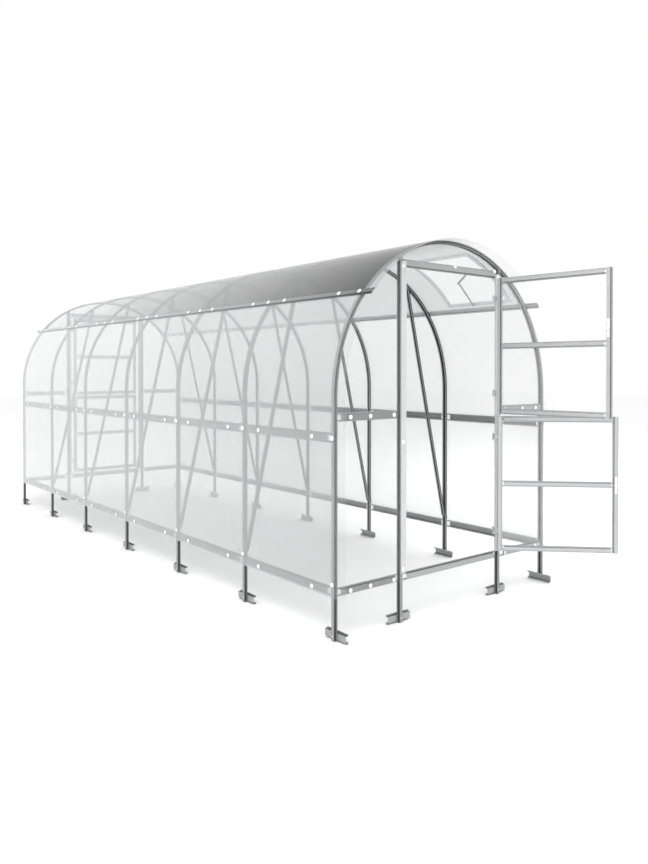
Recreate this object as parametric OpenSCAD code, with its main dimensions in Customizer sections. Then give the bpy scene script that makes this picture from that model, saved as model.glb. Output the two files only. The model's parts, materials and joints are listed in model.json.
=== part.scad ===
// Tunnel greenhouse: hot-dip galvanised hat-section arches and rails, covered
// with twin-wall polycarbonate. Two half doors, one above the other, close the
// front doorway, and a vent lies in the right slope of the roof.
// X runs across the greenhouse, Y along it towards the rear, Z up. The origin
// is the middle of the space it takes up with its doors ajar, at the underside
// of its feet.

/* [Tunnel] */
// Width over the outside of the arches
frame_w = 2120; // [1900:10:2300]
// Height of the straight walls above the ground line
wall_h = 1156; // [1100:1:1300]
// Distance from one arch to the next
arch_spacing = 1000; // [800:10:1200]
// Depth of the legs below the ground line
foot_depth = 320; // [200:5:400]

/* [Steel profiles] */
// Thickness of the sheet steel
steel_t = 1.5; // [1:0.1:2]
// Depth of every hat section, from its flanges to its crown
hat_d = 20; // [16:1:26]
// Width of an arch or post over its flanges
arch_hat_w = 44; // [38:1:56]
// Width of a side rail or foot over its flanges
rail_hat_w = 62; // [50:1:70]
// Width of a rail in the end walls over its flanges
end_hat_w = 54; // [40:1:60]
// Width of a brace over its flanges
brace_hat_w = 36; // [28:1:40]
// Width of each flange
flange_w = 10; // [6:1:12]
// Length at a rail's end where only its flanges go on
cut_back = 28; // [15:1:40]
// Length of a foot
foot_l = 200; // [150:5:260]
// Height of a brace's lower end above the ground line
brace_foot_z = 60; // [40:5:120]
// Distance of a brace's upper end in from the legs' inner faces
brace_reach = 450; // [300:10:500]

/* [Rail heights] */
// Height of the base rails' centre line above the ground line
base_rail_z = -25; // [-30:1:0]
// Height of the side rails' centre line above the ground line
side_rail_z = 915; // [850:1:950]
// Height of the end walls' middle rails above the ground line
end_rail_z = 1040; // [980:1:1100]
// Angle of the upper rails above the horizontal
upper_rail_angle = 38.2; // [34:0.1:40]
// Width of the upper rails over their flanges
upper_rail_w = 50; // [40:1:60]
// Depth of the upper rails
upper_rail_d = 10; // [6:1:14]

/* [Doorway] */
// Distance between the door posts' centre lines
post_gap = 1000; // [960:5:1040]
// Height of the underside of the crossbar above the ground line
doorway_h = 2000; // [1960:5:2010]
// Reach of the jamb strips into the doorway from the posts' centre lines
jamb_reach = 44; // [36:1:50]
// Thickness of the jamb strips
jamb_t = 2; // [1.5:0.5:3]

/* [Doors] */
// Distance from the hinge axis to the free edge of a door
door_reach = 870; // [860:1:880]
// Width of a door's stiles and rails over their flanges
door_hat_w = 42; // [36:1:50]
// Height of the lower door's bottom edge above the ground line
door_bottom = 14; // [12:1:30]
// Height of the line where the two doors part above the ground line
door_split = 1003; // [960:1:1040]
// Gap between the two doors
door_gap = 16; // [10:1:20]
// Gap between the crossbar's underside and the upper door
door_top_gap = 7; // [6:1:15]
// Gap between a closed door and the jamb strips
door_clear = 9; // [8:1:14]
// Distance of the hinge axis from the right post's centre line
hinge_inset = 70; // [60:1:80]
// Length at a door rail's end where only its flanges go on
door_cut_back = 10.5; // [8:0.5:20]
// Opening angle of the upper door
upper_open = 96; // [60:1:110]
// Opening angle of the lower door
lower_open = 135; // [60:1:140]

/* [Hinges and latches] */
// Radius of a hinge pin
pin_r = 4; // [3:0.5:5]
// Radial gap between a pin and its knuckle
pin_clear = 0.1; // [0.05:0.05:0.2]
// Wall thickness of a knuckle
knuckle_t = 2.5; // [2:0.5:4]
// Length of a knuckle
knuckle_l = 36; // [30:1:50]
// Height of the plates above and below a knuckle
hinge_lug_h = 8; // [6:1:12]
// Gap between a knuckle and each plate
hinge_play = 1; // [0.5:0.5:2]
// Distance of a hinge from the top or bottom edge of its door
hinge_from_edge = 150; // [120:5:200]
// Length of a latch plate
latch_l = 120; // [80:5:160]
// Width of a latch plate
latch_w = 16; // [12:1:18]
// Thickness of a latch plate
latch_t = 4; // [3:0.5:6]
// Height of the upper door's latch, as a share of the door's height
upper_latch_at = 0.6; // [0.4:0.05:0.7]
// Height of the lower door's latch, as a share of the door's height
lower_latch_at = 0.5; // [0.4:0.05:0.7]
// Gap between a knuckle and its door's stile
knuckle_gap = 6; // [4:1:10]

/* [Covering] */
// Thickness of the polycarbonate
sheet_t = 4; // [4:1:6]
// Thickness of the tape between the arches and the sheets on them
tape_t = 0.2; // [0.2:0.1:1]
// Overhang of the sheets past the front and rear arches' centre lines
overhang = 120; // [80:5:130]
// Gap between neighbouring sheets
sheet_gap = 2; // [1:0.5:4]
// Distance that the wall sheets reach below the base rails' centre line
sheet_drop = 30; // [10:1:40]

/* [Roof vent] */
// Distance from the front arch to the vent's front edge
vent_y = 110; // [100:5:150]
// Length of the vent along the roof
vent_l = 600; // [500:5:650]
// Angle of the vent's lower edge above the horizontal
vent_low = 42; // [42:0.5:46]
// Angle that the vent spans
vent_span = 32; // [24:0.5:36]
// Width of the vent's frame
vent_bar_w = 30; // [20:1:40]
// Depth of the vent's frame
vent_bar_d = 12; // [8:1:16]
// Width of the stay's links
stay_w = 16; // [12:1:20]
// Thickness of the stay's links
stay_t = 3; // [2:0.5:4]
// Depth of the stay below the arches' outside
stay_depth = 31.2; // [28:0.2:40]
// Place of the stay's lower end, as a share of the vent's length
stay_low_at = 0.55; // [0.4:0.01:0.7]
// Place of the stay's knee, as a share of the vent's length
stay_knee_at = 0.53; // [0.4:0.01:0.7]
// Place of the stay's upper end, as a share of the vent's length
stay_high_at = 0.3; // [0.2:0.01:0.4]
// How far up the vent the knee is, as a share of the vent's span
stay_knee_up = 0.45; // [0.3:0.01:0.5]
// How far up the vent the upper end is, as a share of the vent's span
stay_high_up = 0.6; // [0.55:0.01:0.8]

/* [Hidden] */
$fn = 192;
BAYS = 6;
SHEET_BAYS = 2;
STEEL = [0.74, 0.74, 0.76];
DOOR_STEEL = [0.82, 0.82, 0.83];
CLEAR = [0.86, 0.88, 0.90, 0.6];

r_out = frame_w / 2;
r_in = r_out - hat_d;
skin_in = r_out + tape_t;
skin_out = skin_in + sheet_t;
tunnel_l = BAYS * arch_spacing;
front_face = arch_hat_w / 2;
post_x = post_gap / 2;
crown_w = arch_hat_w - 2 * flange_w;
jamb_y = front_face + jamb_t;

// A door's own frame: s runs from the hinge axis to the free edge, t runs
// outwards from the middle of the steel, and the axis is at s = 0, t = 0.
hinge_x = post_x - hinge_inset;
door_half_t = hat_d / 2;
hinge_y = -(jamb_y + door_clear + door_half_t);
knuckle_r = pin_r + pin_clear + knuckle_t;
door_start = knuckle_r + knuckle_gap;
lower_top = door_split - door_gap / 2;
upper_bottom = door_split + door_gap / 2;
upper_top = doorway_h - door_top_gap;
lower_h = lower_top - door_bottom;
upper_h = upper_top - upper_bottom;

// The space taken up along Y: from the open doors or the front sheets' overhang
// to the rear sheets' overhang. Past 90 degrees a door's outermost edge is the
// inner face of its flange, and before that the outer face of its sheet.
function door_edge(open) = open > 90 ? door_half_t - steel_t : door_half_t + sheet_t;
function door_end(open) = hinge_y - door_reach * sin(open) - door_edge(open) * cos(open);
front_end = min(door_end(upper_open), door_end(lower_open), -overhang);
rear_end = tunnel_l + overhang;
centre_y = (front_end + rear_end) / 2;

// ---- placing ----

// The modules below measure from the front arch's centre line and the ground
// line. This sets them down in the part's frame.
module set_down() translate([0, -centre_y, foot_depth]) children();

module both_sides() {
    children();
    mirror([1, 0, 0]) children();
}

// The same as the front, seen from the rear.
module at_rear() translate([0, tunnel_l, 0]) rotate([0, 0, 180]) children();

module along_y() rotate([-90, 0, 0]) children();
module along_x() rotate([-90, 0, 0]) rotate([0, 90, 0]) children();
module facing_front() rotate([0, 0, -90]) children();

// A box from its lowest corner to its highest one.
module block(low, high) translate(low) cube(high - low);

// ---- profiles ----

// Outline of a hat section: the flanges lie at x = 0 and the crown at x = d.
module hat_outline(w, d) {
    half = w / 2;
    web = half - flange_w;
    polygon([
        [0, -half], [steel_t, -half], [steel_t, -web], [d, -web],
        [d, web], [steel_t, web], [steel_t, half], [0, half],
        [0, web - steel_t], [d - steel_t, web - steel_t],
        [d - steel_t, steel_t - web], [0, steel_t - web]
    ]);
}

// A straight length of hat section that runs up from z = 0.
module hat_bar(l, w, d = hat_d) linear_extrude(l) hat_outline(w, d);

// A length of hat section whose flanges alone go on at both ends.
module hat_rail(l, w, cut = cut_back) {
    difference() {
        hat_bar(l, w);
        for (end = [-1, l - cut])
            block([steel_t, -w / 2, end], [hat_d + 1, w / 2, end + cut + 1]);
    }
}

// A ring or part of one around the roof's centre line, from y0 to y1.
module roof_band(r0, r1, y0, y1, from, span) {
    translate([0, 0, wall_h]) rotate([90, 0, 0]) rotate([0, 0, from])
        rotate_extrude(angle = span) translate([r0, -y1]) square([r1 - r0, y1 - y0]);
}

// Everything inside a tunnel of half width r, from y0 to y1.
module tunnel_space(r, y0, y1, low) {
    block([-r, y0, low], [r, y1, wall_h]);
    translate([0, y1, wall_h]) rotate([90, 0, 0]) cylinder(r = r, h = y1 - y0);
}

// ---- frame ----

module arch(i) {
    translate([0, i * arch_spacing, 0]) {
        translate([0, 0, wall_h]) rotate([90, 0, 0])
            rotate_extrude(angle = 180) translate([r_in, 0]) hat_outline(arch_hat_w, hat_d);
        both_sides() translate([r_in, 0, -foot_depth]) hat_bar(foot_depth + wall_h, arch_hat_w);
    }
}

// One straight brace from the foot of a leg up to the roof of its arch.
module brace() {
    low = [r_in, brace_foot_z];
    high = [r_in - brace_reach, wall_h + sqrt(pow(r_in, 2) - pow(r_in - brace_reach, 2))];
    run = high - low;
    intersection() {
        translate([low[0] - hat_d, 0, low[1]]) rotate([0, atan2(run[0], run[1]), 0])
            translate([0, 0, -hat_d]) hat_bar(norm(run) + 3 * hat_d, brace_hat_w);
        tunnel_space(r_in, -brace_hat_w, brace_hat_w, 0);
    }
}

module braces() for (i = [1 : BAYS - 1]) translate([0, i * arch_spacing, 0]) both_sides() brace();

// A side rail on the right, one length to each bay.
module side_rail(z) {
    l = arch_spacing - arch_hat_w;
    for (i = [0 : BAYS - 1])
        translate([r_in, i * arch_spacing + arch_hat_w / 2, z]) along_y() hat_rail(l, rail_hat_w);
}

// The right upper rail: one length along the outside of the sheets.
module upper_rail() {
    translate([0, -overhang, wall_h]) rotate([0, -upper_rail_angle, 0])
        translate([skin_out, 0, 0]) along_y()
            hat_bar(tunnel_l + 2 * overhang, upper_rail_w, upper_rail_d);
}

module feet() {
    for (i = [0 : BAYS]) both_sides()
        translate([r_in - hat_d, i * arch_spacing - foot_l / 2, rail_hat_w / 2 - foot_depth])
            along_y() hat_bar(foot_l, rail_hat_w);
}

module post_feet() {
    for (x = [-post_x, post_x])
        translate([x - foot_l / 2, 2 * hat_d - front_face, rail_hat_w / 2 - foot_depth])
            along_x() hat_bar(foot_l, rail_hat_w);
}

// ---- end walls, as at the front ----

module post(x) {
    intersection() {
        translate([x, hat_d - front_face, -foot_depth]) facing_front()
            hat_bar(foot_depth + wall_h + r_in, arch_hat_w);
        tunnel_space(r_in, -front_face, front_face, -foot_depth);
    }
}

// A rail across the end wall from x0 to x1.
module end_rail(x0, x1, z, w = end_hat_w) {
    translate([x0, hat_d - front_face, z]) along_x() hat_rail(x1 - x0, w);
}

module crossbar() {
    end_rail(-post_x + arch_hat_w / 2, post_x - arch_hat_w / 2, doorway_h + end_hat_w / 2);
}

module panel_rails(z) both_sides() end_rail(post_x + arch_hat_w / 2, r_in, z);

module end_base_rails() {
    panel_rails(base_rail_z);
    end_rail(-post_x + arch_hat_w / 2, post_x - arch_hat_w / 2, base_rail_z);
}

// Flat strips on the posts that the doors close against.
module jamb_strips() {
    both_sides()
        block([post_x - jamb_reach, -jamb_y, base_rail_z + end_hat_w / 2],
              [post_x + sheet_gap, -front_face, doorway_h + end_hat_w / 2]);
}

module side_sheets() {
    low = [post_x + 2 * sheet_gap, -front_face - sheet_t, base_rail_z - end_hat_w / 2];
    both_sides() intersection() {
        tunnel_space(r_out - sheet_gap, -front_face - sheet_t, -front_face, low[2]);
        block(low, [r_out, -front_face, wall_h + r_out]);
    }
}

module gable_sheet() {
    low = [-post_x - sheet_gap, -front_face - sheet_t, doorway_h + end_hat_w / 2 + sheet_gap];
    intersection() {
        tunnel_space(r_out - sheet_gap, -front_face - sheet_t, -front_face, low[2]);
        block(low, [post_x + sheet_gap, -front_face, wall_h + r_out]);
    }
}

// ---- covering ----

// Three wall sheets on the right, from the base rail to the upper rail.
module wall_sheets() {
    low = base_rail_z - sheet_drop;
    for (k = [0 : BAYS / SHEET_BAYS - 1]) {
        y0 = sheet_start(k);
        y1 = sheet_end(k);
        block([skin_in, y0, low], [skin_out, y1, wall_h]);
        roof_band(skin_in, skin_out, y0, y1, 0, upper_rail_angle - joint_angle);
    }
}

function sheet_start(k) = k == 0 ? -overhang : k * SHEET_BAYS * arch_spacing + sheet_gap / 2;
function sheet_end(k) = (k + 1) * SHEET_BAYS == BAYS
    ? tunnel_l + overhang : (k + 1) * SHEET_BAYS * arch_spacing - sheet_gap / 2;

// Half the gap between a wall sheet and a roof sheet, as an angle.
joint_angle = atan(sheet_gap / 2 / r_out);

module roof_sheet(k) {
    from = upper_rail_angle + joint_angle;
    roof_band(skin_in, skin_out, sheet_start(k), sheet_end(k), from, 180 - 2 * from);
}

// ---- roof vent, in the right slope of the first bay ----

vent_gap_angle = atan(sheet_gap / r_out);
vent_bar_angle = atan(vent_bar_w / 2 / r_out);

module vent_cut() {
    roof_band(r_out, skin_out + 1, vent_y, vent_y + vent_l, vent_low, vent_span);
}

module vent_frame() {
    half = vent_bar_w / 2;
    difference() {
        roof_band(r_out - vent_bar_d, r_out, vent_y - half, vent_y + vent_l + half,
                  vent_low - vent_bar_angle, vent_span + 2 * vent_bar_angle);
        roof_band(r_out - vent_bar_d - 1, r_out + 1, vent_y + half, vent_y + vent_l - half,
                  vent_low + vent_bar_angle, vent_span - 2 * vent_bar_angle);
    }
}

module vent_leaf() {
    roof_band(skin_in, skin_out, vent_y + sheet_gap, vent_y + vent_l - sheet_gap,
              vent_low + vent_gap_angle, vent_span - 2 * vent_gap_angle);
}

// A point inside the vent's frame, deeper by one link for each layer.
function under_vent(angle, y, layer) = let (r = r_out - stay_depth - layer * stay_t)
    [r * cos(angle), y, wall_h + r * sin(angle)];

// A flat link with round ends from p to q, its flat side facing the given angle.
module stay_link(p, q, angle) {
    run = q - p;
    u = run / norm(run);
    across = cross([cos(angle), 0, sin(angle)], u);
    v = across / norm(across);
    n = cross(u, v);
    multmatrix([[u[0], v[0], n[0], p[0]], [u[1], v[1], n[1], p[1]], [u[2], v[2], n[2], p[2]]]) {
        block([0, -stay_w / 2, 0], [norm(run), stay_w / 2, stay_t]);
        cylinder(r = stay_w / 2, h = stay_t);
        translate([norm(run), 0, 0]) cylinder(r = stay_w / 2, h = stay_t);
    }
}

// Two folded links: from the vent's lower bar to the knee and on to its upper
// bar, the second one layer deeper than the first.
module vent_stay() {
    low_y = vent_y + vent_l * stay_low_at;
    knee_y = vent_y + vent_l * stay_knee_at;
    high_y = vent_y + vent_l * stay_high_at;
    knee_angle = vent_low + vent_span * stay_knee_up;
    high_angle = vent_low + vent_span * stay_high_up;
    stay_link(under_vent(vent_low, low_y, 0), under_vent(knee_angle, knee_y, 0),
              (vent_low + knee_angle) / 2);
    stay_link(under_vent(knee_angle, knee_y, 2), under_vent(high_angle, high_y, 2),
              (knee_angle + high_angle) / 2);
}

// ---- doors ----

// Puts a door, drawn in its own frame, on the hinge axis at an opening angle.
module hung(open) translate([hinge_x, hinge_y, 0]) rotate([0, 0, open]) children();

// A closed door reaches towards -X from its axis and faces -Y.
module stile(s, z, h) {
    translate([-s, -door_half_t, z]) rotate([0, 0, 90]) hat_bar(h, door_hat_w);
}

module door_rail(s0, s1, z) {
    translate([-s1, -door_half_t, z]) rotate([90, 0, 0]) rotate([0, 90, 0])
        hat_rail(s1 - s0, door_hat_w, door_cut_back);
}

// Heights of a door's hinges' centres.
function hinge_heights(z, h) = [z + hinge_from_edge, z + h - hinge_from_edge];

module knuckles(z, h) {
    for (hz = hinge_heights(z, h)) translate([0, 0, hz - knuckle_l / 2]) difference() {
        union() {
            cylinder(r = knuckle_r, h = knuckle_l);
            block([-door_start - flange_w, -steel_t, 0], [0, steel_t, knuckle_l]);
        }
        translate([0, 0, -1]) cylinder(r = pin_r + pin_clear, h = knuckle_l + 2);
    }
}

module door_frame(z, h) {
    first = door_start + door_hat_w / 2;
    last = door_reach - door_hat_w / 2;
    stile(first, z, h);
    stile(last, z, h);
    for (rail_z = [z + door_hat_w / 2, z + h / 2, z + h - door_hat_w / 2])
        door_rail(first + door_hat_w / 2, last - door_hat_w / 2, rail_z);
    knuckles(z, h);
}

module door_sheet(z, h) {
    block([-door_reach, -door_half_t - sheet_t, z], [-door_start, -door_half_t, z + h]);
}

module door_latch(z) {
    mid = door_reach - door_hat_w / 2;
    block([-mid - latch_w / 2, door_half_t, z - latch_l / 2],
          [-mid + latch_w / 2, door_half_t + latch_t, z + latch_l / 2]);
}

// Fixed halves of an end's four hinges: a plate on the jamb, two lugs and a pin.
module brackets() {
    lug_half = pin_r + knuckle_t;
    h = knuckle_l / 2 + hinge_play + hinge_lug_h;
    for (hz = concat(hinge_heights(door_bottom, lower_h), hinge_heights(upper_bottom, upper_h)))
        translate([0, 0, hz]) {
            block([hinge_x - lug_half, -jamb_y - jamb_t, -h], [post_x, -jamb_y, h]);
            for (z0 = [-h, h - hinge_lug_h])
                block([hinge_x - lug_half, hinge_y, z0],
                      [hinge_x + lug_half, -jamb_y - jamb_t, z0 + hinge_lug_h]);
            translate([hinge_x, hinge_y, -h]) cylinder(r = pin_r, h = 2 * h);
            for (z0 = [-h, h - hinge_lug_h])
                translate([hinge_x, hinge_y, z0]) cylinder(r = lug_half, h = hinge_lug_h);
        }
}

// ---- the pieces ----

module arch_1() set_down() color(STEEL) arch(0);
module arch_2() set_down() color(STEEL) arch(1);
module arch_3() set_down() color(STEEL) arch(2);
module arch_4() set_down() color(STEEL) arch(3);
module arch_5() set_down() color(STEEL) arch(4);
module arch_6() set_down() color(STEEL) arch(5);
module arch_7() set_down() color(STEEL) arch(6);
module arch_braces() set_down() color(STEEL) braces();
module side_feet() set_down() color(STEEL) feet();
module door_post_feet() set_down() color(STEEL) { post_feet(); at_rear() post_feet(); }
module left_base_rail() set_down() color(STEEL) mirror([1, 0, 0]) side_rail(base_rail_z);
module left_middle_rail() set_down() color(STEEL) mirror([1, 0, 0]) side_rail(side_rail_z);
module left_upper_rail() set_down() color(STEEL) mirror([1, 0, 0]) upper_rail();
module right_base_rail() set_down() color(STEEL) side_rail(base_rail_z);
module right_middle_rail() set_down() color(STEEL) side_rail(side_rail_z);
module right_upper_rail() set_down() color(STEEL) upper_rail();
module front_left_post() set_down() color(STEEL) post(-post_x);
module front_right_post() set_down() color(STEEL) post(post_x);
module front_crossbar() set_down() color(STEEL) crossbar();
module front_middle_rails() set_down() color(STEEL) panel_rails(end_rail_z);
module front_base_rails() set_down() color(STEEL) end_base_rails();
module front_jamb_strips() set_down() color(DOOR_STEEL) jamb_strips();
module rear_posts() set_down() color(STEEL) at_rear() { post(-post_x); post(post_x); }
module rear_crossbar() set_down() color(STEEL) at_rear() crossbar();
module rear_rails() set_down() color(STEEL) at_rear() { panel_rails(end_rail_z); end_base_rails(); }
module rear_jamb_strips() set_down() color(DOOR_STEEL) at_rear() jamb_strips();
module left_wall_sheets() set_down() color(CLEAR) mirror([1, 0, 0]) wall_sheets();
module right_wall_sheets() set_down() color(CLEAR) wall_sheets();
module front_roof_sheet() set_down() color(CLEAR) difference() { roof_sheet(0); vent_cut(); }
module middle_roof_sheet() set_down() color(CLEAR) roof_sheet(1);
module rear_roof_sheet() set_down() color(CLEAR) roof_sheet(2);
module front_side_sheets() set_down() color(CLEAR) side_sheets();
module front_gable_sheet() set_down() color(CLEAR) gable_sheet();
module rear_end_sheets() set_down() color(CLEAR) at_rear() { side_sheets(); gable_sheet(); }
module roof_vent_frame() set_down() color(STEEL) vent_frame();
module roof_vent_leaf() set_down() color(CLEAR) vent_leaf();
module roof_vent_stay() set_down() color(DOOR_STEEL) vent_stay();
module hinge_brackets() set_down() color(DOOR_STEEL) { brackets(); at_rear() brackets(); }
module upper_door_frame() set_down() color(DOOR_STEEL) hung(upper_open) door_frame(upper_bottom, upper_h);
module upper_door_sheet() set_down() color(CLEAR) hung(upper_open) door_sheet(upper_bottom, upper_h);
module upper_door_latch() set_down() color(STEEL) hung(upper_open)
    door_latch(upper_bottom + upper_h * upper_latch_at);
module lower_door_frame() set_down() color(DOOR_STEEL) hung(lower_open) door_frame(door_bottom, lower_h);
module lower_door_sheet() set_down() color(CLEAR) hung(lower_open) door_sheet(door_bottom, lower_h);
module lower_door_latch() set_down() color(STEEL) hung(lower_open)
    door_latch(door_bottom + lower_h * lower_latch_at);
module rear_door_frames() set_down() color(DOOR_STEEL) at_rear() hung(0) {
    door_frame(door_bottom, lower_h);
    door_frame(upper_bottom, upper_h);
}
module rear_door_sheets() set_down() color(CLEAR) at_rear() hung(0) {
    door_sheet(door_bottom, lower_h);
    door_sheet(upper_bottom, upper_h);
}

arch_1();
arch_2();
arch_3();
arch_4();
arch_5();
arch_6();
arch_7();
arch_braces();
side_feet();
door_post_feet();
left_base_rail();
left_middle_rail();
left_upper_rail();
right_base_rail();
right_middle_rail();
right_upper_rail();
front_left_post();
front_right_post();
front_crossbar();
front_middle_rails();
front_base_rails();
front_jamb_strips();
rear_posts();
rear_crossbar();
rear_rails();
rear_jamb_strips();
left_wall_sheets();
right_wall_sheets();
front_roof_sheet();
middle_roof_sheet();
rear_roof_sheet();
front_side_sheets();
front_gable_sheet();
rear_end_sheets();
roof_vent_frame();
roof_vent_leaf();
roof_vent_stay();
hinge_brackets();
upper_door_frame();
upper_door_sheet();
upper_door_latch();
lower_door_frame();
lower_door_sheet();
lower_door_latch();
rear_door_frames();
rear_door_sheets();
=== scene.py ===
"""Looks of the tunnel greenhouse: galvanised steel, fluted sheets, screws, rivets and fittings."""
import json
import math

import bpy
from mathutils import Matrix, Vector


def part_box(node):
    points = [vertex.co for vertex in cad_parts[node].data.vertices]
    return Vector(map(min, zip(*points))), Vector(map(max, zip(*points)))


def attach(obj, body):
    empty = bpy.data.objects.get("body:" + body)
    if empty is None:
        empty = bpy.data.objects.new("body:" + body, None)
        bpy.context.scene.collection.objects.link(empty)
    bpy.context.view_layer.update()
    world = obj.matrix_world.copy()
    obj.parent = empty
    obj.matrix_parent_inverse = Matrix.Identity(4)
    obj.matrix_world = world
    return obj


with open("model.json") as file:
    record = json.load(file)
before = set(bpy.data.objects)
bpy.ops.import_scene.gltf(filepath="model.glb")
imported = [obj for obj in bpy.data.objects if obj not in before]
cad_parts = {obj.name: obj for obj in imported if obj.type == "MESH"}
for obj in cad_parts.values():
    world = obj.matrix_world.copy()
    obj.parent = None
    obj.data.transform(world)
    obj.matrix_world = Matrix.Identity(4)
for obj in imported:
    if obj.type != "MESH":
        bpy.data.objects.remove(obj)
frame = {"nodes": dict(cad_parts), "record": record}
bpy.ops.object.select_all(action="DESELECT")
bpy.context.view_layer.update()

# ---- landmarks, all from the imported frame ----

RECORD = frame["record"]
JOINTS = {j["name"]: j for j in RECORD["behaviour"]["joints"]}
ARCHES = [f"arch_{i}" for i in range(1, 8)]
STEEL_T = 0.0015
FLUTE = 0.0105  # distance between a sheet's inner walls
UPPER_RAIL_D = 0.010
STILE_W = 0.042
DOOR_START = 0.0126  # from the hinge axis to the first stile
DOOR_HALF_T = 0.010
HINGE_FROM_EDGE = 0.15
LATCH_T = 0.004
PLATE_T = 0.002
VENT_BAR_W = 0.030
STAY_W, STAY_T, STAY_DEPTH = 0.016, 0.003, 0.0312


def middle(node):
    """The middle of a node's box."""
    low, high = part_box(node)
    return (Vector(low) + Vector(high)) / 2


ARCH_Y = [middle(name).y for name in ARCHES]
SPACING = ARCH_Y[1] - ARCH_Y[0]
ARCH_LOW, ARCH_HIGH = (Vector(v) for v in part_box("arch_1"))
R_OUT = ARCH_HIGH.x
ROOF_Z = ARCH_HIGH.z - R_OUT
SHEET_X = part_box("right_wall_sheets")[1][0]
SHEET_T = SHEET_X - R_OUT
FRONT_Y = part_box("front_side_sheets")[0][1]
REAR_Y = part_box("rear_end_sheets")[1][1]
POST_X = middle("front_right_post").x
LEG_X = R_OUT - (R_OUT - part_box("side_feet")[1][0]) / 2
BASE_Z = middle("left_base_rail").z
MIDDLE_Z = middle("left_middle_rail").z
END_RAIL_Z = middle("front_middle_rails").z
END_BASE_Z = middle("front_base_rails").z
CROSSBAR_Z = middle("front_crossbar").z
UPPER = middle("right_upper_rail")
UPPER_ANGLE = math.atan2(UPPER.z - ROOF_Z, UPPER.x)
JAMB_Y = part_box("front_jamb_strips")[0][1]
FOOT_Z = middle("side_feet").z


# ---- node maths ----

class Wire:
    """A socket that Python's operators join to further nodes."""

    def __init__(self, tree, socket):
        self.tree = tree
        self.socket = socket

    def _math(self, operation, *values):
        return self.tree.make("ShaderNodeMath", {"operation": operation}, *values)

    def __add__(self, other): return self._math("ADD", self, other)
    def __radd__(self, other): return self._math("ADD", other, self)
    def __sub__(self, other): return self._math("SUBTRACT", self, other)
    def __rsub__(self, other): return self._math("SUBTRACT", other, self)
    def __mul__(self, other): return self._math("MULTIPLY", self, other)
    def __rmul__(self, other): return self._math("MULTIPLY", other, self)
    def __truediv__(self, other): return self._math("DIVIDE", self, other)
    def __pow__(self, other): return self._math("POWER", self, other)
    def __gt__(self, other): return self._math("GREATER_THAN", self, other)
    def __lt__(self, other): return self._math("LESS_THAN", self, other)
    def __abs__(self): return self._math("ABSOLUTE", self)
    def sine(self): return self._math("SINE", self)
    def clamp(self): return self.tree.make("ShaderNodeClamp", {}, self)


class Finish:
    """A material being built: makes its nodes and fills the sockets of its shader."""

    def __init__(self, name):
        self.material = bpy.data.materials.new(name)
        self.material.use_nodes = True
        self.nodes = self.material.node_tree.nodes
        self.links = self.material.node_tree.links
        self.shader = self.nodes["Principled BSDF"]

    def fill(self, socket, value):
        if isinstance(value, Wire):
            self.links.new(value.socket, socket)
        else:
            socket.default_value = value

    def make(self, kind, settings, *values, output=0, **named):
        """One node of a kind, with its settings set first and then its sockets' values or links."""
        node = self.nodes.new(kind)
        for key, value in settings.items():
            if key == "stops":
                ramp = node.color_ramp
                while len(ramp.elements) < len(value):
                    ramp.elements.new(0.5)
                for element, (place, colour) in zip(ramp.elements, value):
                    element.position, element.color = place, colour
            else:
                setattr(node, key, value)
        for socket, value in zip(node.inputs, values):
            self.fill(socket, value)
        for key, value in named.items():
            self.fill(node.inputs[key.replace("_", " ")], value)
        return Wire(self, node.outputs[output])

    def place(self):
        """Object coordinates, and their X, Y and Z."""
        point = self.make("ShaderNodeTexCoord", {}, output="Object")
        return point, [self.make("ShaderNodeSeparateXYZ", {}, point, output=i) for i in range(3)]

    def facing(self, direction):
        """How squarely the surface faces along a direction of the object, either way round."""
        normal = self.make("ShaderNodeTexCoord", {}, output="Normal")
        return abs(self.along(normal, direction))

    def along(self, vector, direction):
        """How far a vector goes along a direction."""
        settings = {"operation": "DOT_PRODUCT"}
        return self.make("ShaderNodeVectorMath", settings, vector, direction, output="Value")

    def from_front(self, y):
        """Runs from 0 at the front arch to 1 at the rear one."""
        return (y - ARCH_Y[0]) / (ARCH_Y[-1] - ARCH_Y[0])

    def flutes(self, run):
        """A wave with one crest to each inner wall of a sheet."""
        return (run * (math.tau / FLUTE)).sine() * 0.5 + 0.5

    def noise(self, point, scale, detail=3.0, roughness=0.55):
        return self.make("ShaderNodeTexNoise", {}, Vector=point, Scale=scale,
                         Detail=detail, Roughness=roughness)

    def stretched(self, point, scale):
        return self.make("ShaderNodeMapping", {}, point, Scale=scale)

    def blend(self, factor, low, high):
        """A colour between two others."""
        mix = self.nodes.new("ShaderNodeMix")
        mix.data_type = "RGBA"
        for key, value in (("Factor_Float", factor), ("A_Color", low), ("B_Color", high)):
            self.fill(next(s for s in mix.inputs if s.identifier == key), value)
        return Wire(self, next(s for s in mix.outputs if s.identifier == "Result_Color"))

    def bump(self, height, strength, distance):
        normal = self.make("ShaderNodeBump", {}, Strength=strength, Distance=distance, Height=height)
        self.fill(self.shader.inputs["Normal"], normal)

    def set(self, **sockets):
        for key, value in sockets.items():
            self.fill(self.shader.inputs[key.replace("_", " ")], value)
        return self.material


def grey(level, warm=0.0):
    """A grey with a touch of warmth or, below zero, of cold."""
    return (level * (1 + warm), level, level * (1 - warm), 1.0)


# ---- finishes ----

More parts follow.
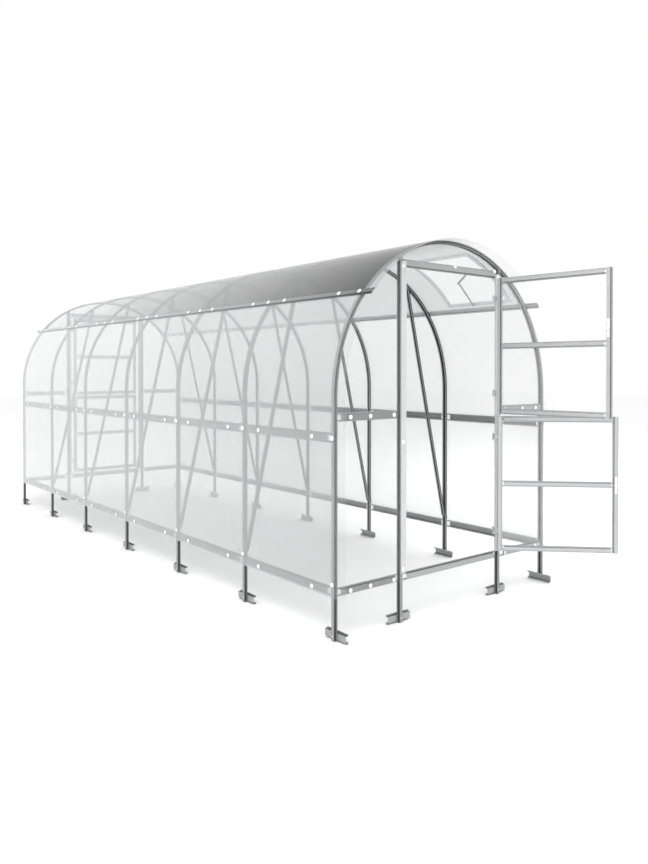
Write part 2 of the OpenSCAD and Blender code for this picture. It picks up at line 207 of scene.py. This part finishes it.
def galvanised(name, web_way, light=0.60, web_shade_tone=0.20, shade_lift_to_rear=0.0):
    """Hot-dip galvanised steel: spangle, dull streaks, and painted shade on the webs between crown and
    flanges.

    light is the tone of its faces and web_shade_tone the tone of the painted shade on its webs, and
    web_way is the way the webs face.
    shade_lift_to_rear is how far the painted shade lifts towards the rear, the steel painted paler
    there.
    """
    steel = Finish(name)
    point, (_, y, _) = steel.place()
    spangle = steel.make("ShaderNodeTexVoronoi", {"feature": "F1"}, Vector=point, Scale=140.0,
                         output="Color")
    flake = steel.make("ShaderNodeSeparateColor", {}, spangle)
    cloud = steel.noise(point, 9.0)
    streak = steel.noise(steel.stretched(point, (60.0, 60.0, 3.0)), 1.0, 4.0)
    shade_and_bump_noise = steel.noise(point, 26.0, 5.0, 0.7)
    mottle = flake * 0.30 + cloud * 0.35 + streak * 0.35
    face = steel.blend(mottle, grey(light * 0.80, -0.012), grey(light * 1.12, -0.006))
    # painted shade: webs that face along web_way are darkened towards the web tone, a shade painted into
    # the recess and varied by noise
    web_shade_mask = ((steel.facing(web_way) - 0.55) * 4.0).clamp()
    shaded_steel = steel.blend(web_shade_mask * (0.80 + 0.25 * shade_and_bump_noise), face, grey(web_shade_tone, -0.02))
    # painted shade that lifts towards the rear: the steel is painted paler from front to rear
    if shade_lift_to_rear:
        rear = steel.from_front(y).clamp() ** 0.6
        shaded_steel = steel.blend(rear * shade_lift_to_rear, shaded_steel, grey(0.62, -0.01))
    steel.bump(flake * 0.3 + shade_and_bump_noise * 0.7, 0.10, 0.0006)
    rough = 0.34 + 0.16 * cloud + 0.10 * flake
    return steel.set(Base_Color=shaded_steel, Metallic=0.35, Roughness=rough, Coat_Weight=0.0)


def fluted(name, across, clear=0.40, tone=0.78, painted_shade_grey=None, far=None):
    """Twin-wall sheet: its inner walls show as fine lines a centimetre apart, across one axis.

    clear is its alpha and tone its grey. painted_shade_grey, for the roof, is the grey of painted shade
    at the front left, and far is its alpha at the rear, where the sheet is also painted paler, a painted
    reflection. The skirts past the end arches let more through.
    """
    sheet = Finish(name)
    point, (x, y, _) = sheet.place()
    wave = sheet.flutes({"x": x, "y": y}[across])
    rib = wave ** 6.0
    haze = sheet.noise(point, 1.7, 4.0)
    film = sheet.noise(sheet.stretched(point, (2.0, 30.0, 1.0)), 1.0, 3.0)
    tint = sheet.blend(haze * 0.5 + film * 0.5, grey(tone * 0.92, -0.012), grey(tone * 1.06, -0.004))
    body = sheet.blend(rib * 0.35, tint, grey(tone * 0.72, -0.015))
    skirt = (y < ARCH_Y[0] - 0.018) + (y > ARCH_Y[-1] + 0.018)
    alpha = ((clear + 0.14 * rib + 0.10 * (haze - 0.5)) * (1.0 - 0.78 * skirt)).clamp()
    if far is not None:
        # painted reflection: the sheet is painted paler and more opaque towards the rear
        painted_rear_paling = sheet.from_front(y).clamp() ** 0.8
        body = sheet.blend(painted_rear_paling * 0.8, body, grey(0.92, -0.004))
        alpha = (alpha + painted_rear_paling * (far - clear) * (1.0 - 0.62 * skirt)).clamp()
    # painted shade: the roof's front left is painted towards a near-black grey and made more opaque,
    # fading to the rear and to the right
    if painted_shade_grey is not None:
        along = (sheet.from_front(y) + 0.06).clamp() ** 0.85
        left = ((0.30 - x) / 0.75).clamp()
        painted_shade_mask = left * (1.0 - along) * (1.0 - 0.45 * skirt)
        body = sheet.blend(painted_shade_mask, body, grey(painted_shade_grey, 0.004))
        alpha = (alpha + painted_shade_mask * (0.94 - clear)).clamp()
    sheet.bump(wave, 0.06, 0.0008)
    return sheet.set(Base_Color=body, Alpha=alpha, Roughness=0.14 + 0.10 * haze, IOR=1.35,
                     Specular_IOR_Level=0.22)


def clear_pane(name, across_way):
    """The doors' clear sheets, nearly invisible apart from their ribs and a film of dust."""
    pane = Finish(name)
    point, _ = pane.place()
    wave = pane.flutes(pane.along(point, across_way))
    dust = pane.noise(point, 6.0, 5.0, 0.65)
    alpha = (0.05 + 0.05 * (wave ** 6.0) + 0.05 * dust).clamp()
    colour = pane.blend(dust, grey(0.86), grey(0.95))
    pane.bump(wave, 0.10, 0.0006)
    return pane.set(Base_Color=colour, Alpha=alpha, Roughness=0.10 + 0.1 * dust, IOR=1.3)


def moulded(name, level, spot=0.92):
    """Moulded plastic of the washers' caps and latches."""
    cap = Finish(name)
    point, _ = cap.place()
    mottle = cap.noise(point, 160.0, 3.0)
    scuff = cap.noise(point, 30.0, 4.0)
    cap.bump(mottle, 0.12, 0.0003)
    colour = cap.blend(scuff, grey(level * spot, 0.004), grey(level))
    return cap.set(Base_Color=colour, Roughness=0.38 + 0.18 * mottle)


def zinc_screw():
    """Bright zinc of bolts and rivets."""
    zinc = Finish("bright zinc")
    point, _ = zinc.place()
    grain = zinc.noise(point, 220.0, 3.0)
    zinc.bump(grain, 0.08, 0.0002)
    colour = zinc.blend(grain, grey(0.52), grey(0.70))
    return zinc.set(Base_Color=colour, Metallic=0.6, Roughness=0.28 + 0.2 * grain)


def door_way(name):
    """A door's axis, the way along it and the way its crowns face, all as it stands at rest."""
    joint = JOINTS[f"{name}_hinge"]
    opened = math.radians(-joint["range_deg"][0])
    axis = Vector(joint["pos_m"])
    along = Vector((-math.cos(opened), -math.sin(opened), 0))
    return axis, along, Vector((along.y, -along.x, 0))


UPPER_AXIS, UPPER_ALONG, UPPER_ACROSS = door_way("upper_door")
LOWER_AXIS, LOWER_ALONG, LOWER_ACROSS = door_way("lower_door")
SLANT = Vector((-math.sin(UPPER_ANGLE), 0, math.cos(UPPER_ANGLE)))
ARCH_STEEL = galvanised("arch steel", (0, 1, 0), 0.33, 0.06)
SIDE_STEEL = galvanised("side rail steel", (0, 0, 1), 0.36, 0.06)
# painted shade: the left upper rail is given far darker faces and webs than the right one, and pales
# towards the rear
SHADED_LEFT_UPPER_STEEL = galvanised("shaded left upper rail steel", (-SLANT.x, 0, SLANT.z), 0.15, 0.05, 0.95)
UPPER_RIGHT_STEEL = galvanised("right upper rail steel", tuple(SLANT))
POST_STEEL = galvanised("post steel", (1, 0, 0), 0.30, 0.04)
END_STEEL = galvanised("end rail steel", (0, 0, 1), 0.40, 0.07)
VENT_STEEL = galvanised("vent frame steel", (0, 1, 0), 0.78, 0.55)
BRACE_STEEL = galvanised("brace steel", (0, 1, 0), 0.36, 0.08)
UPPER_DOOR_STEEL = galvanised("upper door steel", tuple(UPPER_ALONG + Vector((0, 0, 1))), 0.50, 0.16)
LOWER_DOOR_STEEL = galvanised("lower door steel", tuple(LOWER_ALONG + Vector((0, 0, 1))), 0.50, 0.16)
FITTING_STEEL = galvanised("fitting steel", (0, 0, 1), 0.62, 0.45)
# painted shade: the left wall's sheet is given a darker grey than the right wall's, one sheet in two
# tones; both pale towards the rear as a painted reflection
SHADED_LEFT_WALL_SHEET = fluted("wall polycarbonate", "y", 0.36, 0.50, far=0.46)
RIGHT_WALL_SHEET = fluted("right wall polycarbonate", "y", 0.13, 0.88, far=0.30)
# painted shade: a near-black grey (0.03) at the roof's front left
ROOF_SHEET = fluted("roof polycarbonate", "y", 0.36, 0.78, 0.03)
VENT_SHEET = fluted("vent polycarbonate", "y", 0.16, 0.92)
END_SHEET = fluted("end polycarbonate", "x", 0.12, 0.80)
UPPER_PANE = clear_pane("upper door pane", tuple(UPPER_ALONG))
LOWER_PANE = clear_pane("lower door pane", tuple(LOWER_ALONG))
WHITE_CAP = moulded("white cap", 0.90)
ZINC = zinc_screw()

NODE_FINISH = {
    **{name: ARCH_STEEL for name in ARCHES},
    "arch_braces": BRACE_STEEL, "side_feet": SIDE_STEEL, "door_post_feet": END_STEEL,
    "left_base_rail": SIDE_STEEL, "left_middle_rail": SIDE_STEEL, "left_upper_rail": SHADED_LEFT_UPPER_STEEL,
    "right_base_rail": SIDE_STEEL, "right_middle_rail": SIDE_STEEL,
    "right_upper_rail": UPPER_RIGHT_STEEL,
    "front_left_post": POST_STEEL, "front_right_post": POST_STEEL, "rear_posts": POST_STEEL,
    "front_crossbar": END_STEEL, "front_middle_rails": END_STEEL, "front_base_rails": END_STEEL,
    "rear_crossbar": END_STEEL, "rear_rails": END_STEEL,
    "front_jamb_strips": FITTING_STEEL, "rear_jamb_strips": FITTING_STEEL,
    "hinge_brackets": FITTING_STEEL,
    "left_wall_sheets": SHADED_LEFT_WALL_SHEET, "right_wall_sheets": RIGHT_WALL_SHEET,
    "front_roof_sheet": ROOF_SHEET, "middle_roof_sheet": ROOF_SHEET, "rear_roof_sheet": ROOF_SHEET,
    "front_side_sheets": END_SHEET, "front_gable_sheet": END_SHEET, "rear_end_sheets": END_SHEET,
    "roof_vent_frame": VENT_STEEL, "roof_vent_leaf": VENT_SHEET, "roof_vent_stay": FITTING_STEEL,
    "upper_door_frame": UPPER_DOOR_STEEL, "upper_door_sheet": UPPER_PANE, "upper_door_latch": WHITE_CAP,
    "lower_door_frame": LOWER_DOOR_STEEL, "lower_door_sheet": LOWER_PANE, "lower_door_latch": WHITE_CAP,
    "rear_door_frames": END_STEEL, "rear_door_sheets": END_SHEET,
}
for node_name, finish in NODE_FINISH.items():
    for material_slot in frame["nodes"][node_name].material_slots:
        material_slot.material = finish


# ---- making pieces ----

def select(faces):
    """Selects the faces for which a test on centre and normal holds, in edit mode."""
    mesh = bpy.context.object.data
    bpy.ops.mesh.select_mode(type="FACE")
    bpy.ops.mesh.select_all(action="DESELECT")
    bpy.ops.object.mode_set(mode="OBJECT")
    for polygon in mesh.polygons:
        polygon.select = faces(polygon.center, polygon.normal)
    bpy.ops.object.mode_set(mode="EDIT")


def cap_pattern():
    """A capped washer lying on z = 0: a skirt, a bevelled rim and a low dome."""
    bpy.ops.mesh.primitive_cylinder_add(vertices=20, radius=0.014, depth=0.004, location=(0, 0, 0.002))
    bpy.ops.object.mode_set(mode="EDIT")
    select(lambda centre, normal: normal.z > 0.9)
    bpy.ops.mesh.inset(thickness=0.003)
    bpy.ops.mesh.extrude_region_move(TRANSFORM_OT_translate={"value": (0, 0, 0.0022)})
    bpy.ops.transform.resize(value=(0.82, 0.82, 1))
    bpy.ops.mesh.extrude_region_move(TRANSFORM_OT_translate={"value": (0, 0, 0.0012)})
    bpy.ops.transform.resize(value=(0.55, 0.55, 1))
    bpy.ops.object.mode_set(mode="OBJECT")
    bpy.ops.object.shade_smooth_by_angle(angle=math.radians(50))
    return bpy.context.object


def screw_pattern():
    """A screw head on a round flange, lying on z = 0."""
    bpy.ops.mesh.primitive_cylinder_add(vertices=18, radius=0.0075, depth=0.0014,
                                        location=(0, 0, 0.0007))
    bpy.ops.object.mode_set(mode="EDIT")
    select(lambda centre, normal: normal.z > 0.9)
    bpy.ops.mesh.inset(thickness=0.0022)
    bpy.ops.mesh.extrude_region_move(TRANSFORM_OT_translate={"value": (0, 0, 0.0036)})
    bpy.ops.mesh.inset(thickness=0.0008)
    bpy.ops.transform.translate(value=(0, 0, 0.0005))
    bpy.ops.object.mode_set(mode="OBJECT")
    return bpy.context.object


def knob_pattern():
    """A turning knob: a waisted stem with a bevelled grip."""
    bpy.ops.mesh.primitive_cylinder_add(vertices=20, radius=0.0075, depth=0.003, location=(0, 0, 0.0015))
    bpy.ops.object.mode_set(mode="EDIT")
    select(lambda centre, normal: normal.z > 0.9)
    bpy.ops.mesh.inset(thickness=0.002)
    bpy.ops.mesh.extrude_region_move(TRANSFORM_OT_translate={"value": (0, 0, 0.005)})
    bpy.ops.mesh.extrude_region_move(TRANSFORM_OT_translate={"value": (0, 0, 0.001)})
    bpy.ops.transform.resize(value=(3.2, 1.5, 1))
    bpy.ops.mesh.extrude_region_move(TRANSFORM_OT_translate={"value": (0, 0, 0.005)})
    bpy.ops.mesh.inset(thickness=0.001)
    bpy.ops.transform.translate(value=(0, 0, 0.0006))
    bpy.ops.object.mode_set(mode="OBJECT")
    bpy.ops.object.shade_smooth_by_angle(angle=math.radians(40))
    return bpy.context.object


def array(name, pattern, places, material, body="root"):
    """Copies of a pattern, one at each (point, outward direction), joined into one piece."""
    bpy.ops.object.select_all(action="DESELECT")
    copies = []
    for point, way in places:
        turn = Vector(way).to_track_quat("Z", "Y").to_matrix().to_4x4()
        copy = pattern.copy()
        copy.data = pattern.data.copy()
        copy.data.transform(Matrix.Translation(point) @ turn)
        bpy.context.collection.objects.link(copy)
        copies.append(copy)
    for copy in copies:
        copy.select_set(True)
    bpy.context.view_layer.objects.active = copies[0]
    if len(copies) > 1:
        bpy.ops.object.join()
    piece = bpy.context.view_layer.objects.active
    piece.name = name
    piece.data.name = name
    piece.data.materials.clear()
    piece.data.materials.append(material)
    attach(piece, body)
    bpy.ops.object.select_all(action="DESELECT")


def settle(pattern):
    """Puts a pattern's own place into its mesh."""
    pattern.data.transform(pattern.matrix_world)
    pattern.matrix_world = Matrix.Identity(4)
    return pattern


def radial(side, angle, radius, y):
    """A point and outward direction on the roof, on the left for side -1 and on the right for side 1."""
    way = Vector((side * math.cos(angle), 0, math.sin(angle)))
    return Vector((0, y, ROOF_Z)) + way * radius, way


def at_rear(y):
    """The place at the rear end that matches one at the front."""
    return ARCH_Y[0] + ARCH_Y[-1] - y


cap = settle(cap_pattern())
screw = settle(screw_pattern())
knob = settle(knob_pattern())

# ---- capped washers ----

BESIDE = 0.2 * SPACING
CLOSE = 0.01
ALONG_WALL = sorted(y + step for y in ARCH_Y for step in (-BESIDE, 0, BESIDE)
                    if ARCH_Y[0] - CLOSE < y + step < ARCH_Y[-1] + CLOSE)

for side, word in ((-1, "left"), (1, "right")):
    wall = []
    for y in ALONG_WALL:
        on_arch = any(abs(y - a) < CLOSE for a in ARCH_Y)
        wall.append((Vector((side * SHEET_X, y, MIDDLE_Z)), (side, 0, 0)))
        wall.append((Vector((side * SHEET_X, y, BASE_Z + (0.05 if on_arch else 0))), (side, 0, 0)))
    array(f"{word}_wall_caps", cap, wall, WHITE_CAP)
    rail = [radial(side, UPPER_ANGLE, SHEET_X + UPPER_RAIL_D, y) for y in ALONG_WALL]
    array(f"{word}_upper_rail_caps", cap, rail, WHITE_CAP)

for word, y, way in (("front", FRONT_Y, -1), ("rear", REAR_Y, 1)):
    spots = []
    for side in (-1, 1):
        for x in (LEG_X - 0.11, (LEG_X + POST_X) / 2, POST_X + 0.07):
            spots.append((Vector((side * x, y, END_RAIL_Z)), (0, way, 0)))
            spots.append((Vector((side * x, y, END_BASE_Z)), (0, way, 0)))
    low_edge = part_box("front_gable_sheet")[0][2] + 0.015
    spots += [(Vector((x, y, low_edge)), (0, way, 0)) for x in (0.012, way * -0.44)]
    array(f"{word}_end_caps", cap, spots, WHITE_CAP)
    jamb_y = JAMB_Y if way < 0 else at_rear(JAMB_Y)
    strips = []
    for side in (-1, 1):
        for z in (END_BASE_Z + 0.055, END_RAIL_Z - 0.18, CROSSBAR_Z - 0.02):
            strips.append((Vector((side * (POST_X - 0.014), jamb_y, z)), (0, way, 0)))
    array(f"{word}_jamb_caps", cap, strips, WHITE_CAP)

# ---- bolts through the legs and posts into their feet ----

bolts = [(Vector((side * R_OUT, y, FOOT_Z)), (side, 0, 0)) for side in (-1, 1) for y in ARCH_Y]
array("foot_bolts", screw, bolts, ZINC)
bolts = []
for node_name, way in (("front_left_post", -1), ("rear_posts", 1)):
    face_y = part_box(node_name)[0 if way < 0 else 1][1]
    bolts += [(Vector((side * POST_X, face_y, FOOT_Z)), (0, way, 0)) for side in (-1, 1)]
array("post_foot_bolts", screw, bolts, ZINC)

# ---- the doors' rivets and turning knobs, and the screws of the hinge plates ----

for body, axis, along, across in (("upper_door", UPPER_AXIS, UPPER_ALONG, UPPER_ACROSS),
                                  ("lower_door", LOWER_AXIS, LOWER_ALONG, LOWER_ACROSS)):
    low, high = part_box(f"{body}_frame")
    ends = [v.co.copy() for v in frame["nodes"][f"{body}_frame"].data.vertices]
    reach = max((v - axis).dot(along) for v in ends)
    flange = across * (STEEL_T - DOOR_HALF_T)
    rivets = []
    for z in (low[2] + STILE_W / 2, (low[2] + high[2]) / 2, high[2] - STILE_W / 2):
        for run in (DOOR_START + STILE_W + 0.0052, reach - STILE_W - 0.0052):
            for step in (-0.016, 0.016):
                rivets.append((Vector((axis.x, axis.y, z + step)) + along * run + flange, across))
    array(f"{body}_rivets", screw, rivets, ZINC, body)
    face = Vector((axis.x, axis.y, middle(f"{body}_latch").z))
    face += along * (reach - STILE_W / 2) + across * (DOOR_HALF_T + LATCH_T)
    array(f"{body}_knob", knob, [(face, across)], WHITE_CAP, body)

hinge_z = []
for body in ("lower_door", "upper_door"):
    low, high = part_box(f"{body}_frame")
    hinge_z += [low[2] + HINGE_FROM_EDGE, high[2] - HINGE_FROM_EDGE]
PLATE_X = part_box("hinge_brackets")[1][0] - 0.012
PLATE_Y = JAMB_Y - PLATE_T
plates = []
for z in hinge_z:
    for step in (-0.014, 0.014):
        plates.append((Vector((PLATE_X, PLATE_Y, z + step)), (0, -1, 0)))
        plates.append((Vector((-PLATE_X, at_rear(PLATE_Y), z + step)), (0, 1, 0)))
array("hinge_screws", screw, plates, ZINC)

# ---- rivets of the vent's stay, at both ends and through the knee ----

vent_mesh = frame["nodes"]["roof_vent_frame"].data
vent_angles = [math.atan2(v.co.z - ROOF_Z, v.co.x) for v in vent_mesh.vertices]
vent_low = min(vent_angles) + VENT_BAR_W / 2 / R_OUT
vent_span = max(vent_angles) - VENT_BAR_W / 2 / R_OUT - vent_low
vent_front, vent_back = (corner[1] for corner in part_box("roof_vent_frame"))
vent_l = vent_back - vent_front - VENT_BAR_W
stay_front, stay_back = (corner[1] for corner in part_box("roof_vent_stay"))
low_end, high_end = stay_back - STAY_W / 2, stay_front + STAY_W / 2
stay_points = ((0, low_end, 1), (0.45, low_end - 0.02 * vent_l, 3), (0.6, high_end, 3))
pins = []
for share, y, layers in stay_points:
    angle = vent_low + share * vent_span
    way = Vector((-math.cos(angle), 0, -math.sin(angle)))
    pins.append((Vector((0, y, ROOF_Z)) - way * (R_OUT - STAY_DEPTH - layers * STAY_T), way))
array("stay_rivets", screw, pins, ZINC)

# ---- stage, light and camera ----

def stage_floor():
    """A plain pale floor, far wider than the greenhouse."""
    bpy.ops.mesh.primitive_plane_add(size=80, location=(0, 0, 0))
    floor = bpy.context.object
    floor.name = "studio_floor"
    paper = Finish("studio floor")
    point, _ = paper.place()
    paper.set(Base_Color=paper.blend(paper.noise(point, 0.4), grey(0.95), grey(0.98)), Roughness=0.9)
    floor.data.materials.append(paper.material)


def soft_light():
    """An even white surround, with a broad lamp high on each side."""
    world = bpy.data.worlds.new("studio")
    world.use_nodes = True
    sky = world.node_tree.nodes["Background"]
    sky.inputs["Color"].default_value = (1, 1, 1, 1)
    sky.inputs["Strength"].default_value = 1.0
    bpy.context.scene.world = world
    for name, place, size, power in (("key", (-7, -7, 9), 6, 700), ("fill", (8, -2, 7), 6, 220)):
        light = bpy.data.objects.new(name, bpy.data.lights.new(name, "AREA"))
        light.data.size = size
        light.data.energy = power
        light.location = place
        light.rotation_mode = "QUATERNION"
        light.rotation_quaternion = (Vector((0, 0, 1.3)) - light.location).to_track_quat("-Z", "Y")
        bpy.context.collection.objects.link(light)


def view_camera():
    """A camera at standing height off the front left corner, 39 degrees from the tunnel's line."""
    data = bpy.data.cameras.new("view")
    data.lens = 31.08
    data.shift_x = -0.0066
    data.shift_y = -0.0621
    camera = bpy.data.objects.new("view", data)
    camera.location = (-3.918, ARCH_Y[0] - 3.489, 1.646)
    yaw, pitch = math.radians(39.1), math.radians(0.61)
    ahead = Vector((math.sin(yaw) * math.cos(pitch), math.cos(yaw) * math.cos(pitch), -math.sin(pitch)))
    camera.rotation_mode = "QUATERNION"
    camera.rotation_quaternion = ahead.to_track_quat("-Z", "Y")
    bpy.context.collection.objects.link(camera)
    bpy.context.scene.camera = camera


stage_floor()
soft_light()
view_camera()
bpy.context.scene.view_settings.view_transform = "Standard"
for pattern in (cap, screw, knob):
    bpy.data.objects.remove(pattern)
